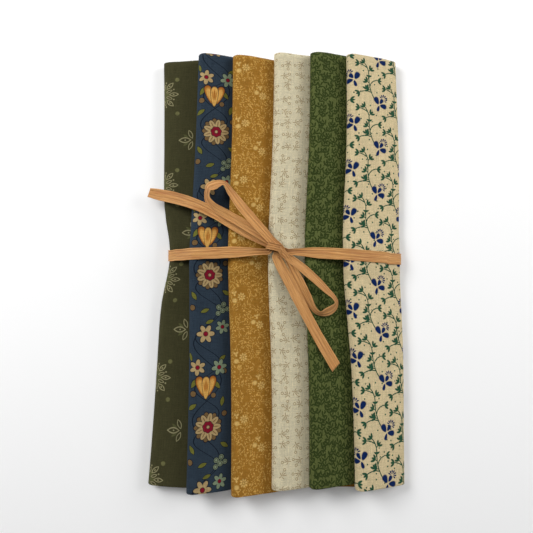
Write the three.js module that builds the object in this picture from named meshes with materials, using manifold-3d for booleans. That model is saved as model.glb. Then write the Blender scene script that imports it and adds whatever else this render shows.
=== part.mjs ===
// Rolled fat quarter bundle: six cotton fat quarters, each folded in half, rolled flat and laid
// with its left side on the roll before it, tied once round with a strip of paper raffia.
// Millimetres. X runs across the bundle, Y along the rolls and Z up from the surface that it lies
// on. The origin is the middle of the rolls' footprint.
import * as THREE from 'three';
import Module from 'manifold-3d';
import { mergeVertices } from 'three/addons/utils/BufferGeometryUtils.js';

const wasm = await Module();
wasm.setup();

const clothSide = 457; // the side of the fat quarter that is wound up
const clothLayers = 2; // the cloth is folded in half before it is rolled
const layerPitch = 0.32; // one layer of cotton with the air that it traps
const rollHalfLength = 140; // half of the folded cloth's length
const crown = 0.5; // how far the middle of a roll's section bulges up
const settle = 0.5; // how far a roll's round edge is pressed flat on what it rests on
const clearance = 0.35; // between pieces that touch in the real bundle
const widthReach = 80; // how far along the rolls the tie flattens them

// One row for each roll, from the left one to the right one. back and front are the ends of the
// roll on Y. leftBack and leftFront are its left edge at those ends, bend bows that edge, and pull
// is how far the tie draws it, over pullReach on each side. width is the roll's width at its ends,
// and spread what the tie adds to it. onFlap says that the roll lies on the ochre cloth's loose end.
const rolls = [
  {
    name: 'roll_olive', colour: 0x423f29, back: 139.8, front: -138.9, leftBack: -74.1,
    leftFront: -84.6, bend: 3.5, pull: 5.6, pullReach: 23, width: 36, spread: -5.6, onFlap: false,
  },
  {
    name: 'roll_blue', colour: 0x2c3a45, back: 140.4, front: -139.3, leftBack: -50,
    leftFront: -58.1, bend: 0, pull: -1.7, pullReach: 57, width: 34.5, spread: 4, onFlap: false,
  },
  {
    name: 'roll_ochre', colour: 0x8f672a, back: 139.1, front: -141, leftBack: -28,
    leftFront: -29.4, bend: 0, pull: -2.5, pullReach: 57, width: 34.5, spread: 4, onFlap: false,
  },
  {
    name: 'roll_cream', colour: 0xcfc4a4, back: 141, front: -136.9, leftBack: -1.7,
    leftFront: -3.3, bend: 0, pull: -3.2, pullReach: 57, width: 34.5, spread: 4, onFlap: true,
  },
  {
    name: 'roll_green', colour: 0x4b532b, back: 140.7, front: -135.2, leftBack: 21.3,
    leftFront: 20.6, bend: 0, pull: -3.4, pullReach: 57, width: 34.5, spread: 4, onFlap: true,
  },
  {
    name: 'roll_beige', colour: 0xcdbb92, back: 139.4, front: -136.9, leftBack: 44.2,
    leftFront: 50.4, bend: 0, pull: -5, pullReach: 57, width: 34, spread: 5.2, onFlap: false,
  },
];

// The ochre cloth's loose outer end, which runs out flat under the two rolls to its right.
const flap = { roll: 'roll_ochre', thickness: 1, right: 52 };

const raffia = {
  colour: 0xbd8850, roughness: 0.7, width: 7.2, thickness: 0.9, loopWidth: 5.4, tailWidth: 6.6,
};

// The band lies across the rolls at these places on Y, and lifts them clear of the surface.
const band = { left: 12.6, middle: 14.6, right: 10.2, lift: 1.3, liftFlat: 7, liftReach: 15 };
const tieY = (band.left + band.right) / 2 + 1;

const knot = {
  x: -0.2, y: 15.4, z: 23.4, radiusX: 6.2, radiusY: 4.2, radiusZ: 2.6, turn: -36, sides: 16, rows: 10,
};

// Centre lines of the raffia's free parts: each tail starts at the knot, and each loop goes out
// from it and comes back.
const freeParts = [
  {
    name: 'left tail', width: raffia.tailWidth,
    route: [
      { x: -4.5, y: 18.5, z: 22.6 },
      { x: -20, y: 27, z: 21 },
      { x: -37, y: 38, z: 20.6 },
      { x: -51, y: 44.6, z: 20.5 },
      { x: -62, y: 48.4, z: 15.8 },
      { x: -72, y: 50.6, z: 10.2 },
      { x: -82, y: 52.4, z: 8.6 },
    ],
  },
  {
    name: 'upper loop', width: raffia.loopWidth,
    route: [
      { x: -4.2, y: 19, z: 24 },
      { x: -17.5, y: 29.6, z: 22.6 },
      { x: -31.5, y: 38.4, z: 22 },
      { x: -41.5, y: 45, z: 21.6 },
      { x: -43.6, y: 52, z: 21.2 },
      { x: -39.5, y: 57.8, z: 21.4 },
      { x: -33, y: 58, z: 21.8 },
      { x: -26.5, y: 50, z: 22.2 },
      { x: -16, y: 36, z: 23.4 },
      { x: -6.5, y: 24.5, z: 24.8 },
      { x: -1.5, y: 18.5, z: 24.6 },
    ],
  },
  {
    name: 'lower loop', width: raffia.loopWidth,
    route: [
      { x: 3.5, y: 12.5, z: 23.8 },
      { x: 11.5, y: 7.6, z: 23 },
      { x: 23, y: -2.4, z: 21.6 },
      { x: 31.5, y: -11.2, z: 21.2 },
      { x: 35.6, y: -17, z: 21 },
      { x: 32.6, y: -23.4, z: 20.8 },
      { x: 26, y: -24.6, z: 20.8 },
      { x: 20.6, y: -19.4, z: 21 },
      { x: 13.2, y: -5, z: 22 },
      { x: 6.6, y: 7.4, z: 23.2 },
      { x: 2.5, y: 13, z: 24 },
    ],
  },
  {
    name: 'lower tail', width: raffia.tailWidth,
    route: [
      { x: -2, y: 14, z: 23.8 },
      { x: 1.4, y: 6.6, z: 22.6 },
      { x: 11.5, y: -11.6, z: 21.2 },
      { x: 22, y: -31.6, z: 20.6 },
      { x: 31, y: -47.6, z: 19.8 },
      { x: 37.2, y: -58, z: 18.8 },
    ],
  },
];

// Where the rolls' sections are taken along Y, besides their ends.
const stations = [105, 75, 45, tieY + 15, tieY + 7, tieY, tieY - 7, tieY - 15, -25, -50, -80, -110];
const corePoints = 8; // points along a section's middle line
const edgeSteps = 7; // steps round a section's rolled edges
const stripStep = 3.5; // the length of one step along a strip of raffia
const steepestTilt = Math.PI / 4;
const tiltHalvings = 30;
const clothRoughness = 0.92;

// A bell of height 1 at the tie, which falls off over the reach.
function tieBell(y, reach) {
  return Math.exp(-(((y - tieY) / reach) ** 2));
}

// How far the band lifts the rolls off the surface at a place along them.
function bandLift(y) {
  const past = (Math.abs(y - tieY) - band.liftFlat) / (band.liftReach - band.liftFlat);
  return band.lift * (1 - THREE.MathUtils.smoothstep(past, 0, 1));
}

// The shape of one roll's section at a given tilt: its left side is raised, and its width and the
// amount of cloth in it fix its thickness. The middle line is a row of points from left to right.
function rollSection(roll, y, tilt) {
  const along = y / rollHalfLength;
  const straightLeft = THREE.MathUtils.lerp(roll.leftFront, roll.leftBack, (along + 1) / 2);
  const left = straightLeft + roll.bend * (1 - along ** 2) + roll.pull * tieBell(y, roll.pullReach);
  const spreadReach = roll.spread < 0 ? roll.pullReach : widthReach;
  const width = roll.width + roll.spread * tieBell(y, spreadReach);
  const clothArea = clothSide * clothLayers * layerPitch;
  const a = 1 / Math.cos(tilt) - Math.PI / 4;
  const b = width / Math.cos(tilt);
  const thickness = (b - Math.sqrt(b ** 2 - 4 * a * clothArea)) / (2 * a);
  const radius = thickness / 2;
  const ground = bandLift(y) + (roll.onFlap ? flap.thickness + clearance : 0);
  const middleLine = [];
  for (let i = 0; i < corePoints; i += 1) {
    const across = i / (corePoints - 1);
    const run = (width - thickness) * (1 - across);
    const bulge = crown * (1 - (2 * across - 1) ** 2);
    const x = left + width - radius - run;
    const z = ground + radius - settle + run * Math.tan(tilt) + bulge;
    middleLine.push(new THREE.Vector2(x, z));
  }
  return { middleLine, radius, ground };
}

function distanceToSegment(point, start, end) {
  const run = end.clone().sub(start);
  const share = THREE.MathUtils.clamp(point.clone().sub(start).dot(run) / run.lengthSq(), 0, 1);
  return point.distanceTo(start.clone().addScaledVector(run, share));
}

// The open space between two sections.
function gapBetween(sectionA, sectionB) {
  let nearest = Infinity;
  for (const [from, to] of [[sectionA, sectionB], [sectionB, sectionA]]) {
    for (const point of from.middleLine) {
      for (let i = 1; i < to.middleLine.length; i += 1) {
        const reach = distanceToSegment(point, to.middleLine[i - 1], to.middleLine[i]);
        nearest = Math.min(nearest, reach);
      }
    }
  }
  return nearest - sectionA.radius - sectionB.radius;
}

// All six sections at one place along the rolls: the first lies flat, and each of the others is
// tilted just so far that it rests on the one before it.
function bundleSections(y) {
  const sections = [];
  for (const roll of rolls) {
    const before = sections.at(-1);
    let low = 0;
    let high = before ? steepestTilt : 0;
    for (let halving = 0; halving < tiltHalvings; halving += 1) {
      const tilt = (low + high) / 2;
      if (before && gapBetween(before, rollSection(roll, y, tilt)) < clearance) {
        low = tilt;
      } else {
        high = tilt;
      }
    }
    sections.push(rollSection(roll, y, high));
  }
  return sections;
}

// The outline of a section, anticlockwise in X and Z from the left end of its underside.
function sectionOutline({ middleLine, radius, ground }, flapRight) {
  const first = middleLine[0];
  const last = middleLine.at(-1);
  const startAngle = Math.atan2(middleLine[1].y - first.y, middleLine[1].x - first.x);
  const endAngle = Math.atan2(last.y - middleLine.at(-2).y, last.x - middleLine.at(-2).x);
  const outline = [];
  const place = (centre, angle) => {
    const x = centre.x + radius * Math.cos(angle);
    const z = centre.y + radius * Math.sin(angle);
    outline.push(new THREE.Vector2(x, Math.max(z, ground)));
  };
  const sideAngle = (i) => {
    const share = i / (corePoints - 1);
    return THREE.MathUtils.lerp(startAngle, endAngle, share);
  };
  for (let i = 0; i < corePoints; i += 1) {
    place(middleLine[i], sideAngle(i) - Math.PI / 2);
  }
  let arcStart = endAngle - Math.PI / 2;
  if (flapRight !== undefined) {
    const flapTop = ground + flap.thickness;
    arcStart = Math.asin((flapTop - last.y) / radius);
    outline.push(new THREE.Vector2(flapRight, ground));
    outline.push(new THREE.Vector2(flapRight, flapTop));
    place(last, arcStart);
  }
  for (let step = 1; step < edgeSteps; step += 1) {
    place(last, THREE.MathUtils.lerp(arcStart, endAngle + Math.PI / 2, step / edgeSteps));
  }
  for (let i = corePoints - 1; i >= 0; i -= 1) {
    place(middleLine[i], sideAngle(i) + Math.PI / 2);
  }
  for (let step = 1; step < edgeSteps; step += 1) {
    place(first, startAngle + Math.PI / 2 + (Math.PI * step) / edgeSteps);
  }
  return outline;
}

// A closed body through rings of points. An open row of rings gets an end face at each end, cut
// into triangles as its flat outline is.
function loft(rings, endOutline) {
  const size = rings[0].length;
  const positions = rings.flat().flatMap((point) => [point.x, point.y, point.z]);
  const faces = [];
  const bands = endOutline ? rings.length - 1 : rings.length;
  for (let ring = 0; ring < bands; ring += 1) {
    const here = ring * size;
    const next = ((ring + 1) % rings.length) * size;
    for (let i = 0; i < size; i += 1) {
      const j = (i + 1) % size;
      faces.push([here + i, here + j, next + j], [here + i, next + j, next + i]);
    }
  }
  if (endOutline) {
    const lastRing = (rings.length - 1) * size;
    for (const [a, b, c] of THREE.ShapeUtils.triangulateShape(endOutline, [])) {
      faces.push([c, b, a], [lastRing + a, lastRing + b, lastRing + c]);
    }
  }
  const geometry = new THREE.BufferGeometry();
  geometry.setAttribute('position', new THREE.Float32BufferAttribute(positions, 3));
  const turned = volumeOf(rings.flat(), faces) < 0;
  geometry.setIndex(faces.flatMap(([a, b, c]) => (turned ? [c, b, a] : [a, b, c])));
  return geometry;
}

function volumeOf(points, faces) {
  let total = 0;
  for (const [a, b, c] of faces) {
    total += points[a].dot(points[b].clone().cross(points[c])) / 6;
  }
  return total;
}

function rollGeometry(index) {
  const roll = rolls[index];
  const places = [roll.back, ...stations, roll.front];
  const flapRight = roll.name === flap.roll ? flap.right : undefined;
  const outlines = places.map((y) => sectionOutline(bundleSections(y)[index], flapRight));
  const rings = outlines.map((outline, station) => outline.map(
    (point) => new THREE.Vector3(point.x, places[station], point.y),
  ));
  return loft(rings, outlines[0]);
}

// The outer hull of a set of points in X and Z, anticlockwise.
function hullOf(points) {
  const sorted = [...points].sort((p, q) => p.x - q.x || p.y - q.y);
  const turn = (o, p, q) => p.clone().sub(o).cross(q.clone().sub(o));
  const half = (row) => {
    const chain = [];
    for (const point of row) {
      while (chain.length > 1 && turn(chain.at(-2), chain.at(-1), point) < 1e-3) {
        chain.pop();
      }
      chain.push(point);
    }
    return chain.slice(0, -1);
  };
  return [...half(sorted), ...half(sorted.reverse())];
}

// The band's place on Y where it crosses the bundle's top at X.
function bandY(x, isTop, left, right) {
  const across = (x - left) / (right - left);
  const straight = THREE.MathUtils.lerp(band.left, band.right, across);
  const rise = band.middle - (band.left + band.right) / 2;
  return isTop ? straight + rise * Math.sin(Math.PI * across) : straight;
}

// The raffia drawn tight round all six rolls, as they are across its width.
function bandGeometry() {
  const places = [tieY - band.liftFlat, tieY, tieY + band.liftFlat];
  const outlines = places.flatMap((y) => bundleSections(y)).map((section) => sectionOutline(section));
  const hull = hullOf(outlines.flat());
  const left = Math.min(...hull.map((point) => point.x));
  const right = Math.max(...hull.map((point) => point.x));
  const middleHeight = Math.max(...hull.map((point) => point.y)) / 2;
  const rings = hull.map((point, i) => {
    const before = hull.at(i - 1);
    const after = hull[(i + 1) % hull.length];
    const inTurn = point.clone().sub(before).normalize();
    const outTurn = after.clone().sub(point).normalize();
    const tangent = inTurn.add(outTurn).normalize();
    const outward = new THREE.Vector2(tangent.y, -tangent.x);
    const y = bandY(point.x, point.y > middleHeight, left, right);
    const inner = point.clone().addScaledVector(outward, clearance);
    const outer = point.clone().addScaledVector(outward, clearance + raffia.thickness);
    return [
      new THREE.Vector3(inner.x, y - raffia.width / 2, inner.y),
      new THREE.Vector3(outer.x, y - raffia.width / 2, outer.y),
      new THREE.Vector3(outer.x, y + raffia.width / 2, outer.y),
      new THREE.Vector3(inner.x, y + raffia.width / 2, inner.y),
    ];
  });
  return loft(rings);
}

// A flat strip along a route, with its face up.
function stripGeometry({ route, width }) {
  const curve = new THREE.CatmullRomCurve3(route.map(({ x, y, z }) => new THREE.Vector3(x, y, z)));
  const steps = Math.round(curve.getLength() / stripStep);
  const up = new THREE.Vector3(0, 0, 1);
  const rings = [];
  for (let step = 0; step <= steps; step += 1) {
    const centre = curve.getPointAt(step / steps);
    const tangent = curve.getTangentAt(step / steps);
    const side = new THREE.Vector3().crossVectors(up, tangent).normalize().multiplyScalar(width / 2);
    const lift = new THREE.Vector3().crossVectors(tangent, side).normalize();
    lift.multiplyScalar(raffia.thickness / 2);
    rings.push([
      centre.clone().add(side).add(lift),
      centre.clone().sub(side).add(lift),
      centre.clone().sub(side).sub(lift),
      centre.clone().add(side).sub(lift),
    ]);
  }
  const square = [[1, 1], [-1, 1], [-1, -1], [1, -1]].map(([x, y]) => new THREE.Vector2(x, y));
  return loft(rings, square);
}

function solidOf(geometry) {
  const bare = geometry.clone();
  bare.deleteAttribute('normal');
  bare.deleteAttribute('uv');
  const merged = mergeVertices(bare, 1e-4);
  const vertProperties = merged.attributes.position.array;
  const triVerts = new Uint32Array(merged.index.array);
  return new wasm.Manifold(new wasm.Mesh({ numProp: 3, vertProperties, triVerts }));
}

function geometryOf(solid) {
  const { vertProperties, triVerts } = solid.getMesh();
  const geometry = new THREE.BufferGeometry();
  geometry.setAttribute('position', new THREE.BufferAttribute(vertProperties, 3));
  geometry.setIndex(new THREE.BufferAttribute(triVerts, 1));
  return geometry;
}

// One strip of raffia: the band, the knot, two loops and two tails.
function tieGeometry() {
  const knotGeometry = new THREE.SphereGeometry(1, knot.sides, knot.rows);
  knotGeometry.scale(knot.radiusX, knot.radiusY, knot.radiusZ);
  knotGeometry.rotateZ(THREE.MathUtils.degToRad(knot.turn));
  knotGeometry.translate(knot.x, knot.y, knot.z);
  let tie = solidOf(bandGeometry()).add(solidOf(knotGeometry));
  for (const part of freeParts) {
    tie = tie.add(solidOf(stripGeometry(part)));
  }
  return geometryOf(tie);
}

function namedMesh(name, geometry, colour, roughness) {
  geometry.computeVertexNormals();
  const material = new THREE.MeshStandardMaterial({ color: colour, roughness, metalness: 0 });
  const mesh = new THREE.Mesh(geometry, material);
  mesh.name = name;
  return mesh;
}

const bundle = new THREE.Group();
bundle.name = 'rolled_fat_quarter_bundle';
rolls.forEach((roll, index) => {
  bundle.add(namedMesh(roll.name, rollGeometry(index), roll.colour, clothRoughness));
});
bundle.add(namedMesh('raffia_tie', tieGeometry(), raffia.colour, raffia.roughness));

export default bundle;
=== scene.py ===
import bpy
import math
import numpy as np
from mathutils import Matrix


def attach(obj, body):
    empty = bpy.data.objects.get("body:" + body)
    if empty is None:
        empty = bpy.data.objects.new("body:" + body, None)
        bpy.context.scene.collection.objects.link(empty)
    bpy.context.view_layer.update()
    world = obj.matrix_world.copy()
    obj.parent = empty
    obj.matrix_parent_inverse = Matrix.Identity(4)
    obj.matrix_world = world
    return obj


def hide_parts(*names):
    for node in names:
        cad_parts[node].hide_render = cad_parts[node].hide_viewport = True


# A bundle of six rolled fat quarters tied with raffia. Lengths are in millimetres, as the maker
# measures them, and every mesh is written in metres.
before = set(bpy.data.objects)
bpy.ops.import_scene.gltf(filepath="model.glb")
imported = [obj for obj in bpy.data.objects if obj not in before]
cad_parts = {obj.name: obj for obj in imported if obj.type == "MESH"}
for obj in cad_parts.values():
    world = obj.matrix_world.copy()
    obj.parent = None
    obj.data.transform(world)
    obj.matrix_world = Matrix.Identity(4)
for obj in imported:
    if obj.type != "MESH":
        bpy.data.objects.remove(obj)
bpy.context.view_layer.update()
metre = 0.001                 # what one millimetre is in metres
print("frame loaded:", ", ".join(sorted(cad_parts)))


# a new object in the scene, at the origin
def addObject(name, data):
    piece = bpy.data.objects.new(name, data)
    bpy.context.scene.collection.objects.link(piece)
    return piece


# camera: straight above the bundle, as near as a hand-held photograph
photoView = {
    "imagePixels": 533,
    "mmPerPixel": 0.63,       # on the plane of the rolls' crests
    "crestHeight": 20,
    "distance": 350,          # from that plane
    "right": -6.6,
    "up": 5.4,
    "sensor": 36,
    "clipStart": 10,
}


def makeCamera(view):
    data = bpy.data.cameras.new("camera")
    data.sensor_width = view["sensor"]
    seenWidth = view["imagePixels"] * view["mmPerPixel"]
    data.lens = view["sensor"] * view["distance"] / seenWidth
    data.clip_start = view["clipStart"] * metre
    camera = addObject("camera", data)
    height = view["crestHeight"] + view["distance"]
    camera.location = (view["right"] * metre, view["up"] * metre, height * metre)
    bpy.context.scene.camera = camera


makeCamera(photoView)
print("camera placed")


# the rolls' sections, the same as in the solid model
bundleSizes = {
    "clothSide": 457,         # wound up
    "clothLength": 559,       # folded in half along the roll
    "layerPitch": 0.32,
    "halfLength": 140,
    "crown": 0.5,
    "settle": 0.5,
    "clearance": 0.35,
    "widthReach": 80,
    "corePoints": 8,
    "flapThickness": 1,
    "flapRight": 52,
    "bandLift": 1.3,
    "bandFlat": 7,
    "bandReach": 15,
    "tieY": 12.4,
    "steepest": math.pi / 4,  # a roll leans on the one before by less than this
    "tiltSteps": 24,
}
# back and front are a roll's ends, and left its left edge at each of them. The tie pulls that edge
# aside and spreads the roll's width.
rollColumns = ("name", "cloth", "back", "front", "leftBack", "leftFront", "bend", "pull", "pullReach",
               "width", "spread", "taper", "hasFlap", "onFlap")
rollRows = [
    ("roll_olive", "olive_cotton", 139.8, -138.9, -74.1, -84.6, 3.5, 5.6, 23, 36, -5.6, 0.014, False, False),
    ("roll_blue", "blue_cotton", 140.4, -139.3, -50, -58.1, 0, -1.7, 57, 34.5, 4, 0, False, False),
    ("roll_ochre", "ochre_cotton", 139.1, -141, -28, -29.4, 0, -2.5, 57, 34.5, 4, 0, True, False),
    ("roll_cream", "cream_cotton", 141, -136.9, -1.7, -3.3, 0, -3.2, 57, 34.5, 4, 0, False, True),
    ("roll_green", "green_cotton", 140.7, -135.2, 21.3, 20.6, 0, -3.4, 57, 34.5, 4, 0, False, True),
    ("roll_beige", "beige_cotton", 139.4, -136.9, 44.2, 50.4, 0, -5, 57, 34, 5.2, 0, False, False),
]
rollTable = [dict(zip(rollColumns, row)) for row in rollRows]


def smoothStep(value):
    value = np.clip(value, 0, 1)
    return value * value * (3 - 2 * value)


def tieBell(y, reach):
    return math.exp(-(((y - bundleSizes["tieY"]) / reach) ** 2))


def bandLift(y):
    reach = bundleSizes["bandReach"] - bundleSizes["bandFlat"]
    past = (abs(y - bundleSizes["tieY"]) - bundleSizes["bandFlat"]) / reach
    return bundleSizes["bandLift"] * (1 - float(smoothStep(past)))


# the roll's middle line across it, from left to right, at one place along it
def rollSection(roll, y, tilt):
    sizes = bundleSizes
    along = y / sizes["halfLength"]
    left = roll["leftFront"] + (roll["leftBack"] - roll["leftFront"]) * (along + 1) / 2
    left += roll["bend"] * (1 - along ** 2) + roll["pull"] * tieBell(y, roll["pullReach"])
    reach = roll["pullReach"] if roll["spread"] < 0 else sizes["widthReach"]
    width = roll["width"] + roll["spread"] * tieBell(y, reach)
    # as thick as the cloth's area needs
    area = sizes["clothSide"] * 2 * sizes["layerPitch"]
    a = 1 / math.cos(tilt) - math.pi / 4
    b = width / math.cos(tilt)
    thickness = (b - math.sqrt(b * b - 4 * a * area)) / (2 * a)
    radius = thickness / 2
    ground = bandLift(y)
    if roll["onFlap"]:
        ground += sizes["flapThickness"] + sizes["clearance"]
    across = np.linspace(0, 1, sizes["corePoints"])
    run = (width - thickness) * (1 - across)
    bulge = sizes["crown"] * (1 - (2 * across - 1) ** 2)
    x = left + width - radius - run
    z = ground + radius - sizes["settle"] + run * math.tan(tilt) + bulge
    return {"line": np.stack([x, z], 1), "radius": radius, "ground": ground}


# the least distance from any of the points to a line
def nearest(points, line):
    start = line[:-1][None]
    run = (line[1:] - line[:-1])[None]
    reach = points[:, None] - start
    share = np.clip((reach * run).sum(2) / (run * run).sum(2), 0, 1)
    return np.linalg.norm(reach - run * share[..., None], axis=2).min()


# each roll is tilted until it just clears the one before
def bundleSections(y):
    sections = []
    for roll in rollTable:
        low, high = 0, bundleSizes["steepest"] if sections else 0
        for _ in range(bundleSizes["tiltSteps"] if sections else 0):
            tilt = (low + high) / 2
            before = sections[-1]
            section = rollSection(roll, y, tilt)
            gap = min(nearest(before["line"], section["line"]), nearest(section["line"], before["line"]))
            if gap - before["radius"] - section["radius"] < bundleSizes["clearance"]:
                low = tilt
            else:
                high = tilt
        sections.append(rollSection(roll, y, high))
    return sections


sectionCache = {}


def sectionsAt(y):
    key = round(float(y), 3)
    if key not in sectionCache:
        sectionCache[key] = bundleSections(key)
    return sectionCache[key]


# a slow, seedless wander between -1 and 1, for whatever is uneven
def wander(value, seed):
    value = np.asarray(value, float)
    return (np.sin(value + seed * 1.7) + np.sin(value * 2.3 + seed * 4.1) * 0.6
            + np.sin(value * 0.43 + seed * 2.9) * 0.8) / 2.4


# how far along a line each of its points lies, where power is 1
def runAlong(points, power=1):
    steps = np.linalg.norm(np.diff(points, axis=0), axis=1)
    return np.concatenate([[0], np.cumsum(steps ** power)])


def makeMesh(name, points, faces, uv=None):
    mesh = bpy.data.meshes.new(name)
    mesh.from_pydata((np.asarray(points) * metre).tolist(), [], faces)
    if uv is not None:
        layer = mesh.uv_layers.new(name="UVMap")
        corners = np.zeros(len(mesh.loops), int)
        mesh.loops.foreach_get("vertex_index", corners)
        layer.data.foreach_set("uv", np.asarray(uv, np.float32)[corners].ravel())
    mesh.shade_smooth()
    mesh.update()
    return addObject(name, mesh)


# the quads of a tube whose rings of points follow one another
def tubeFaces(rings, ringSize):
    faces = []
    for i in range(rings - 1):
        here, ahead = i * ringSize, (i + 1) * ringSize
        for j in range(ringSize):
            k = (j + 1) % ringSize
            faces.append((here + j, here + k, ahead + k, ahead + j))
    return faces


# the raffia: one strip, from the left tail's end through the knot, round the bundle and out again
raffia = {
    "length": 0.76,           # in metres
    "width": 7.2,
    "thickness": 0.3,
    "rimShare": 0.45,         # how thick the strip's edges are, beside its middle
    "step": 0.9,
    "curveSteps": 24,
    "across": 22,
    "curl": 0.2,
    "pinch": 0.62,            # how deep the grooves are where the strip lies open
    "pinchPower": 1.6,
    "pinchMost": 1.9,
    "ragged": (0.04, 4.5),    # how uneven its edges are, and over what length
    "cuts": (0.14, -0.3),     # how aslant each end is cut
    "cutReach": 4,
    "bandGap": 0.2,
    "bandSides": 24,
    "bandStep": 2.0,
    "bandLeft": 12.4,
    "bandMiddle": 14.6,
    "bandRight": 10.2,
    "bandNarrow": (4, 30),    # from the knot, where the band is narrowest and where it is whole
    "knotGap": 5,
    "wrapCentre": (-1.9, 17.7, 23.2),
    "wrapAcross": (0.97, -0.24, 0),
    "wrapRadius": (4.5, 3.2),
    "wrapWidth": 4.6,
    "wrapAngles": (215, -35),
    "wrapPoints": 9,
    "hemSlope": 0.12,
    "hemCrease": (0.6, 0.06, 0.07),   # depth beside the hem's height, place and half width
    "grooveShadeDepth": 2.0,         # how dark the painted shade in a groove of 1 mm is
}
# the grooves and the turned-over edges that run along the strip, placed from -1 to 1 across it
raffiaGrooves = [
    # place, sway, stretch, depth, half width, seed
    (-0.62, 0.22, 23, 0.22, 0.1, 1), (-0.25, 0.3, 31, 0.34, 0.12, 4), (0.1, 0.28, 17, 0.2, 0.09, 7),
    (0.42, 0.25, 37, 0.38, 0.13, 2), (0.72, 0.16, 21, 0.22, 0.09, 9),
]
raffiaHems = [
    # side, place, sway, stretch, height, seed
    (-1, 0.78, 0.16, 29, 0.24, 3), (1, 0.82, 0.18, 41, 0.3, 6),
]
# each row is a point of the strip's middle line, its width and how far its face leans over
leftTail = [
    # x, y, z, width, lean in x, lean in y
    (-83, 53.5, 8.8, 6, -0.2, 0), (-78.3, 52.5, 9.6, 7, -0.3, 0.03), (-71.5, 50.8, 12.2, 7.5, -0.45, 0.05),
    (-62, 48.2, 16.6, 7.3, -0.45, 0), (-51, 44.4, 20.3, 6.9, -0.15, 0), (-37, 37.4, 20.6, 6.4, 0, 0.1),
    (-20, 26.6, 20.9, 5.4, 0, 0.1), (-4.5, 18.5, 22.6, 3.8, 0, 0),
]
lowerLoop = [
    (3.5, 13.2, 23.6, 4, 0, 0), (10.4, 8.6, 23, 5.2, 0.1, 0.2), (18.5, 2.3, 22.2, 5.8, 0.15, 0.3),
    (25.2, -3.8, 21.6, 5.4, 0.2, 0.3), (31.6, -10.2, 21.4, 4.6, 0.4, 0.5), (35.6, -14.2, 21.4, 3.8, 0.9, 0.5),
    (37.1, -17.2, 21.2, 4, 1.3, -0.1), (35.6, -20.4, 21, 5.8, 0.5, -0.5), (31.6, -23, 20.8, 5.8, 0.1, -0.5),
    (27, -23.9, 20.8, 4.6, -0.4, -1.2), (23.4, -21.2, 20.9, 4.8, -0.8, -0.5),
    (18.6, -12.6, 21.3, 5.4, -0.3, -0.1), (13.2, -2, 22, 5.4, -0.15, 0), (8.6, 6.8, 23, 4.6, 0, 0),
    (4.2, 13.4, 24, 4, 0, 0),
]
upperLoop = [
    (-4.2, 19.4, 23.8, 4, 0, 0), (-17.5, 29.6, 22.6, 6, 0, -0.1), (-31.5, 38, 22, 6.2, -0.1, -0.2),
    (-40.5, 43.4, 21.6, 6, -0.4, -0.4), (-43.7, 48.4, 21.4, 5, -0.9, -0.2), (-43.4, 53, 21.2, 5, -0.9, 0.1),
    (-42.4, 55.2, 21.2, 6.4, -0.5, 0.3), (-39.8, 56.2, 21.4, 6.6, -0.2, 0.4), (-36, 57.4, 21.7, 5.4, 0, 0.6),
    (-33, 57.2, 22, 4, 0.5, 0.9), (-29, 52, 22.2, 5.2, 0.5, 0.3), (-21.3, 41.8, 22.9, 6.2, 0.15, 0.1),
    (-10.8, 29.8, 24.2, 6, 0.1, 0.1), (-3.4, 21.6, 24.9, 5.2, 0, 0), (2.4, 16, 24.6, 4.8, 0.3, 0),
    (3.4, 12.6, 23.2, 3.8, 0.6, -0.4),
]
lowerTail = [
    (-0.6, 12.6, 22.6, 4.6, 0, 0), (1.6, 7.4, 22.4, 6.2, -0.1, 0), (11.5, -11.6, 21.4, 6.8, 0, 0),
    (22, -31.6, 20.8, 6.6, 0.1, 0), (31, -47.6, 19.8, 6.8, 0.1, 0), (37.4, -58.4, 18.8, 7, 0.15, 0),
]


def stripRows(rows):
    return [((x, y, z), (leanX, leanY, 1), width) for x, y, z, width, leanX, leanY in rows]


# the points of a convex outline, anticlockwise from the left
def outerHull(points):
    order = sorted(map(tuple, points))
    halves = []
    for row in (order, order[::-1]):
        chain = []
        for point in row:
            while len(chain) > 1:
                (ax, ay), (bx, by) = chain[-2:]
                if (bx - ax) * (point[1] - ay) - (by - ay) * (point[0] - ax) > 1e-3:
                    break
                chain.pop()
            chain.append(point)
        halves += chain[:-1]
    return np.array(halves)


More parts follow.
